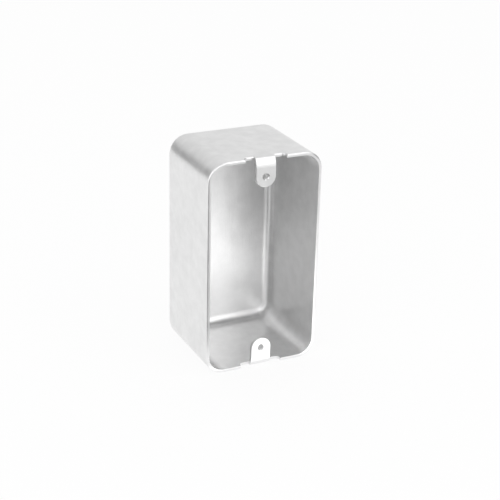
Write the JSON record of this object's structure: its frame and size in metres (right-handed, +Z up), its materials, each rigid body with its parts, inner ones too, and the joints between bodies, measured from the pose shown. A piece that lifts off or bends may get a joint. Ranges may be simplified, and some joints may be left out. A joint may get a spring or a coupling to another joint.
{
  "type": "handy box",
  "caption": "Deep drawn sheet-steel wiring box with rounded corners, an open front, and folded ears with tapped holes that hold a device or a cover.",
  "frame": {"origin": "under the middle of the lower end wall, on which the box stands", "axes": "+X across the box, +Y from the open front to the back, +Z up along the box"},
  "size_m": [0.0556, 0.0476, 0.1016],
  "materials": {
    "zinc_steel": "satin zinc-coated sheet steel with faint draw marks"
  },
  "bodies": {
    "root": {"box_body": "zinc_steel"}
  },
  "joints": []
}
